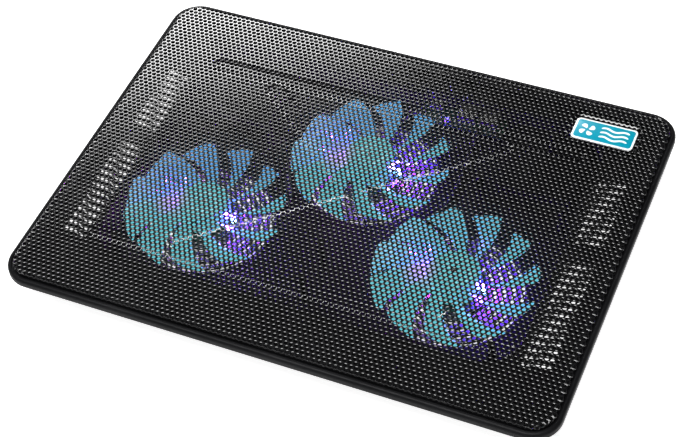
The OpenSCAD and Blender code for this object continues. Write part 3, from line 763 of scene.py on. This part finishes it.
BLADES = 11
ROOT_COVER = 0.52            # share of the blade spacing that a blade covers
TIP_COVER = 0.7
BLADE_SWEEP = 26.0           # degrees from root to tip
BLADE_RISE = 8.5
BLADE_T = 1.3
BLADE_MIDDLE = 19.35         # height of the blades' middle
BLADE_CAMBER = 0.35
BLADE_ROOT = 0.9             # how far a blade reaches into the hub
BLADE_THIN = 0.25            # share of the thickness lost between root and tip
EDGE_SHARE = 0.12            # least share of the thickness at the edges
TIP_ROUND = 0.9              # how far a tip's corners are pulled in
STEPS_OUT, STEPS_ACROSS = 22, 12
IMPELLER_TURN = (-3, 8, 28)  # how far each impeller has stopped round its axis
IMPELLER_SHARP = 50
HUB_R = 17.0
HUB_WALL = 1.8
HUB_CAP = 2                  # thickness of the hub's top
HUB_SHOULDER = 1.6
HUB_CHAMFER = 0.3
DISH = (3.6, 4.2, 12.0, 12.6)            # radii of the shallow dish in the hub's top
DISH_DEPTH = 0.35
BORE_R = 1.5
BORE_RIM = (2.2, 0.5)        # radius and depth of the bore's countersink
BOSS_R = 3.4
BOSS_REACH = 7
LATHE_STEPS = 96


def blade_point(tip_r, turn, t, s, side):
    """A point of a blade: t goes from root to tip, s from edge to edge, side is 1 above and -1 below."""
    r = HUB_R - BLADE_ROOT + (tip_r - HUB_R + BLADE_ROOT) * t
    r -= TIP_ROUND * abs(s) ** 6 * max(0.0, (t - 0.8) / 0.2)
    edge = math.sqrt(max(0.0, 1 - s ** 4)) * (1 - BLADE_THIN * t)
    end = 1 - max(0.0, (t - 0.93) / 0.07) ** 2 * 0.6
    cover = ROOT_COVER + (TIP_COVER - ROOT_COVER) * t
    a = math.radians(BLADE_SWEEP * t + s * cover * 180 / BLADES + turn)
    z = BLADE_MIDDLE - s * BLADE_RISE / 2 + BLADE_CAMBER * (s * s - 0.5)
    z += side * BLADE_T / 2 * max(EDGE_SHARE, edge * end)
    return r * math.cos(a), r * math.sin(a), z


def blade(tip_r, turn):
    """One swept blade: verts and faces of a closed, cambered sheet with thin rounded edges."""
    verts = [blade_point(tip_r, turn, i / STEPS_OUT, -1 + 2 * j / STEPS_ACROSS, side)
             for side in (1, -1) for i in range(STEPS_OUT + 1) for j in range(STEPS_ACROSS + 1)]
    row = STEPS_ACROSS + 1
    low = (STEPS_OUT + 1) * row
    faces = []
    for i in range(STEPS_OUT):
        for j in range(STEPS_ACROSS):
            a = i * row + j
            faces.append((a, a + row, a + row + 1, a + 1))
            faces.append((low + a, low + a + 1, low + a + row + 1, low + a + row))
    for i in range(STEPS_OUT):
        a, b = i * row, i * row + STEPS_ACROSS
        faces.append((a, low + a, low + a + row, a + row))
        faces.append((b, b + row, low + b + row, low + b))
    for j in range(STEPS_ACROSS):
        a, b = j, STEPS_OUT * row + j
        faces.append((a, a + 1, low + a + 1, low + a))
        faces.append((b, low + b, low + b + 1, b + 1))
    return verts, faces


def lathe(profile):
    """A closed ring or cap: profile points (r, z) swept round the Z axis."""
    turns = [2 * math.pi * k / LATHE_STEPS for k in range(LATHE_STEPS)]
    verts = [(r * math.cos(a), r * math.sin(a), z) for a in turns for r, z in profile]
    m = len(profile)
    faces = []
    for k in range(LATHE_STEPS):
        after = (k + 1) % LATHE_STEPS
        for i in range(m):
            beside = (i + 1) % m
            faces.append((k * m + i, after * m + i, after * m + beside, k * m + beside))
    return verts, faces


def hub_profile():
    """Section of the hub cup: rounded shoulder, shallow dish in the top, boss for the shaft."""
    shoulder = [(HUB_R - HUB_SHOULDER + HUB_SHOULDER * math.cos(math.radians(a)),
                 HUB_TOP - HUB_SHOULDER + HUB_SHOULDER * math.sin(math.radians(a))) for a in range(0, 91, 15)]
    dish = [(DISH[3], HUB_TOP), (DISH[2], HUB_TOP - DISH_DEPTH), (DISH[1], HUB_TOP - DISH_DEPTH),
            (DISH[0], HUB_TOP), (BORE_RIM[0], HUB_TOP), (BORE_R, HUB_TOP - BORE_RIM[1])]
    inner = HUB_R - HUB_WALL
    inside = [(BORE_R, HUB_TOP - BOSS_REACH), (BOSS_R, HUB_TOP - BOSS_REACH), (BOSS_R, HUB_TOP - HUB_CAP),
              (inner, HUB_TOP - HUB_CAP), (inner, HUB_LOW), (HUB_R - HUB_CHAMFER, HUB_LOW),
              (HUB_R, HUB_LOW + HUB_CHAMFER)]
    return shoulder + dish + inside


def make_impeller(side, turn):
    """A hub cup with its blades, round the fan's axis."""
    centre = FANS[side]
    tip_r = (highs(f"impeller_{side}")[0] - lows(f"impeller_{side}")[0]) / 2
    parts = [lathe(hub_profile())] + [blade(tip_r, turn + k * 360 / BLADES) for k in range(BLADES)]
    verts, faces = joined(parts)
    verts = np.array(verts) + [centre[0], centre[1], 0]
    piece = add_mesh(f"impeller_{side}_moulding", verts, faces, impeller_plastic_painted_glow(side), IMPELLER_SHARP)
    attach(piece, f"rotor_{side}")
    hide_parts(f"impeller_{side}")


def make_fans():
    for side, turn in zip(SIDES, IMPELLER_TURN):
        make_impeller(side, turn)


# ---------- lamps ----------

LAMP_R = 1.75                # from a lamp's outer face to its axis
LAMP_ABOVE = 0.9             # from a lamp's tip up to its light
LAMP_SIZE = 1.5
LAMP_LIGHTS = {"left": (0.24, (0.45, 0.03, 1.0)), "right": (0.7, (0.16, 0.02, 1.0))}   # power, colour
POWER_LAMP = (0.003, (0.2, 0.15, 1.0))


def lamp_light(name, place, power, colour):
    """A small round light; place is in millimetres."""
    data = bpy.data.lights.new(name, "POINT")
    data.energy = power
    data.color = colour
    data.shadow_soft_size = LAMP_SIZE * MM
    light = bpy.data.objects.new(name, data)
    light.location = Vector(place) * MM
    bpy.context.scene.collection.objects.link(light)


def make_lamps():
    """Light from the two lamps of each fan and from the power lamp."""
    for side in SIDES:
        low, high = lows(f"fan_leds_{side}"), highs(f"fan_leds_{side}")
        for which, corner, inward in (("left", low, LAMP_R), ("right", high, -LAMP_R)):
            place = (corner[0] + inward, corner[1] + inward, high[2] + LAMP_ABOVE)
            lamp_light(f"lamp_light_{side}_{which}", place, *LAMP_LIGHTS[which])
    middle = (lows("power_led") + highs("power_led")) / 2
    lamp_light("power_lamp_light", (middle[0], middle[1], highs("power_led")[2] + 1), *POWER_LAMP)


# ---------- finishes of the carried-over CAD nodes ----------

def dress(material, *names):
    """Gives CAD nodes a material; a name ending in a star stands for every node that starts with it."""
    for name in names:
        for node, thing in frame["nodes"].items():
            if node == name or (name.endswith("*") and node.startswith(name[:-1])):
                thing.data.materials.clear()
                thing.data.materials.append(material)


def dress_nodes():
    """Every CAD node that no piece above replaces gets its finish here."""
    dress(tray_plastic_painted_glow(), "bottom_shell", "motor_base*")
    dress(moulded_plastic("frame_plastic", (0.008, 0.008, 0.009), 0.4, gloss=0.12), "top_frame")
    dress(moulded_plastic("foot_plastic", (0.014, 0.014, 0.016), 0.42), "foot_left", "foot_right")
    dress(moulded_plastic("switch_plastic", (0.01, 0.01, 0.01), 0.4), "switch_slider")
    dress(moulded_plastic("insulator_plastic", (0.7, 0.7, 0.68), 0.4), "usb_tongues")
    dress(moulded_plastic("lead_sheath", (0.01, 0.01, 0.012), 0.5, edge=0), "fan_lead*")
    dress(rubber(), "bottom_pads", "foot_tip*")
    dress(metal("plated_steel", (0.35, 0.35, 0.34), 0.35, (1, 0.1, 1)), "usb_socket*", "switch_body")
    dress(metal("ground_steel", (0.6, 0.6, 0.62), 0.2, (1, 1, 0.05)), "fan_shaft*", "foot_pin*")
    dress(metal("black_zinc", (0.12, 0.12, 0.125), 0.35), "case_screws", "motor_screws", "board_screws")
    dress(metal("sintered_bronze", (0.5, 0.33, 0.17), 0.45), "bearing_sleeve*")
    dress(metal("ferrite", (0.07, 0.065, 0.065), 0.6), "rotor_magnet*")
    dress(lamination(), "stator_core*")
    dress(winding(), "stator_coils*")
    dress(circuit_board(), "fan_board*", "usb_board")
    dress(lamp_glass("fan_lamp", (0.3, 0.6, 1.0), 12.0), "fan_leds*")
    dress(lamp_glass("power_lamp", (0.1, 0.08, 1.0), 2.0), "power_led")


# ---------- the scene ----------

bpy.context.scene.view_settings.view_transform = "Standard"
bpy.context.scene.view_settings.gamma = 0.85
make_camera()
make_world()
make_lights()
make_floor()
make_panel()
make_badge()
make_fans()
make_lamps()
dress_nodes()
